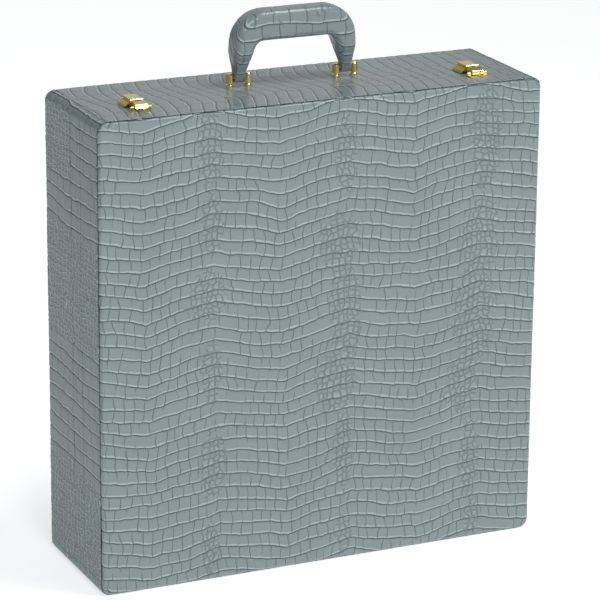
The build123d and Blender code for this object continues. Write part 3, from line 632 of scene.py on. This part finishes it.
satin, tree, shader, place = new_finish("ribbon_satin", Roughness=0.5, Sheen_Weight=0.4)
weave = tree.nodes.new("ShaderNodeTexWave")
weave.bands_direction = "Z"
weave.inputs["Scale"].default_value = 700
tree.links.new(place, weave.inputs["Vector"])
colour = tint(tree, weave.outputs["Fac"], (0.36, 0.27, 0.10), (0.56, 0.44, 0.20))
tree.links.new(colour, shader.inputs["Base Color"])
bump(tree, shader, weave.outputs["Fac"], 0.0001)
ribbon_low, ribbon_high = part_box("upper_tray_ribbons")
ribbon_reach = 0.025
for side, word in ((-1, "left"), (1, "right")):
    bpy.ops.object.select_all(action="DESELECT")
    rim_x = side * (ribbon_high.x - 0.0003)
    ribbon_end = (rim_x, ribbon_high.y - 0.001, (ribbon_low.z + ribbon_high.z) / 2)
    bpy.ops.mesh.primitive_plane_add(size=1, location=ribbon_end, rotation=(math.pi / 2, 0, 0))
    ribbon = bpy.context.object
    ribbon.name = f"ribbon_{word}"
    ribbon.scale = (0.0005, ribbon_high.z - ribbon_low.z, 1)
    bpy.ops.object.transform_apply(location=True, rotation=True, scale=True)
    bpy.ops.object.mode_set(mode="EDIT")
    bpy.ops.mesh.select_all(action="SELECT")
    run = ribbon_high.y - ribbon_low.y - 0.0015
    for step in range(8):
        bpy.ops.mesh.extrude_region_move(TRANSFORM_OT_translate={"value": (0, -run / 8, 0)})
    bpy.ops.mesh.extrude_region_move(TRANSFORM_OT_translate={"value": (-side * 0.0003, -0.00035, 0)})
    bpy.ops.transform.rotate(value=-side * math.pi / 2, orient_axis="Z",
                             center_override=(rim_x - side * 0.0003, ribbon_low.y + 0.0004, 0))
    for step in range(8):
        lift = 0.00002 * step * step
        stretch_out = (-side * ribbon_reach / 8, -lift * 0.2, 0)
        bpy.ops.mesh.extrude_region_move(TRANSFORM_OT_translate={"value": stretch_out})
    bpy.ops.mesh.select_all(action="SELECT")
    bpy.ops.mesh.normals_make_consistent(inside=False)
    bpy.ops.object.mode_set(mode="OBJECT")
    bpy.ops.object.shade_smooth_by_angle(angle=math.radians(60))
    ribbon.data.materials.append(satin)
    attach(ribbon, "base")
    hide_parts("upper_tray_ribbons")


# Hinges: three brushed brass butt hinges under the case, screwed into the bottom boards.

def metal(name, dark, light, roughness, scratch):
    material, tree, shader, place = new_finish(name, Metallic=1.0)
    smear = cloud(tree, place, 60, 4)
    tree.links.new(tint(tree, stretch(tree, smear, 0.35, 0.65), dark, light), shader.inputs["Base Color"])
    lines = tree.nodes.new("ShaderNodeMapping")
    lines.inputs["Scale"].default_value = (scratch, 1.0, 1.0)
    tree.links.new(place, lines.inputs["Vector"])
    polish = cloud(tree, lines.outputs["Vector"], 500, 3)
    tree.links.new(stretch(tree, polish, 0.3, 0.7, *roughness), shader.inputs["Roughness"])
    bump(tree, shader, polish, 0.00003)
    return material


dress(metal("brushed_brass", (0.50, 0.36, 0.13), (0.66, 0.50, 0.22), (0.28, 0.42), 0.1),
      "hinge_base_leaves", "hinge_lid_leaves", "hinge_base_screws", "hinge_lid_screws", "hinge_pins")
steel = metal("plated_steel", (0.45, 0.45, 0.46), (0.62, 0.62, 0.63), (0.2, 0.34), 1.0)
dress(steel, "handle_backing_plates", "handle_nuts", "latch_springs")


# Handle posts and latches: die-cast and turned brass with a bright gilt plating.

gilt = metal("gilt", (0.86, 0.66, 0.22), (0.97, 0.80, 0.34), (0.05, 0.12), 1.0)
dress(gilt, "handle_posts", "handle_pins", "handle_bushes", "hasp_pins", "bed_rivets", "strike_rivets",
      *[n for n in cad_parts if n.startswith("latch_") and n != "latch_springs"])


# Handle: leatherette drawn over a padded core and glued along the inside. Its legs narrow to tongues that
# swing between the posts.

grip_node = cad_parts["handle_grip"]
handle = bpy.data.objects.new("handle_covering", grip_node.data.copy())
bpy.context.collection.objects.link(handle)
pick_up(handle)
bpy.ops.object.mode_set(mode="EDIT")
bpy.ops.mesh.select_all(action="SELECT")
bpy.ops.mesh.remove_doubles(threshold=0.00001)
bpy.ops.mesh.normals_make_consistent(inside=False)
bpy.ops.object.mode_set(mode="OBJECT")
handle.data.materials.clear()
even = handle.modifiers.new("even", "REMESH")
even.mode = "VOXEL"
even.voxel_size = 0.00085
apply_all(handle)
soften = handle.modifiers.new("soften", "SMOOTH")
soften.factor = 0.5
soften.iterations = 6
apply_all(handle)
spots = np.empty(len(handle.data.vertices) * 3)
handle.data.vertices.foreach_get("co", spots)
x, y, z = (spots.reshape(-1, 3) * 1000).T
top_of_grip, shoulder_x, shoulder_z = 498.0, 38, 475
ring = np.hypot(np.abs(x) - shoulder_x, z - shoulder_z)
small = np.clip(0.9 - np.abs(ring - 25) / 9, 0, 1) * np.clip((z - 470) / 20, 0, 1)
write_hide(handle, x + 120, top_of_grip - z + 1.4 * y + 4, small * 0.6)
bpy.ops.object.shade_smooth()
handle_scales = {"row": 12.5, "column": 16.0, "bead": 6.0, "beads_in_row": 2, "bead_heights": (0.45, 1.15)}
emboss(handle, depth=0.0003, **handle_scales)
handle.data.materials.append(leatherette("leatherette_handle", 0.5, **handle_scales))
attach(handle, "handle")
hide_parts("handle_grip")
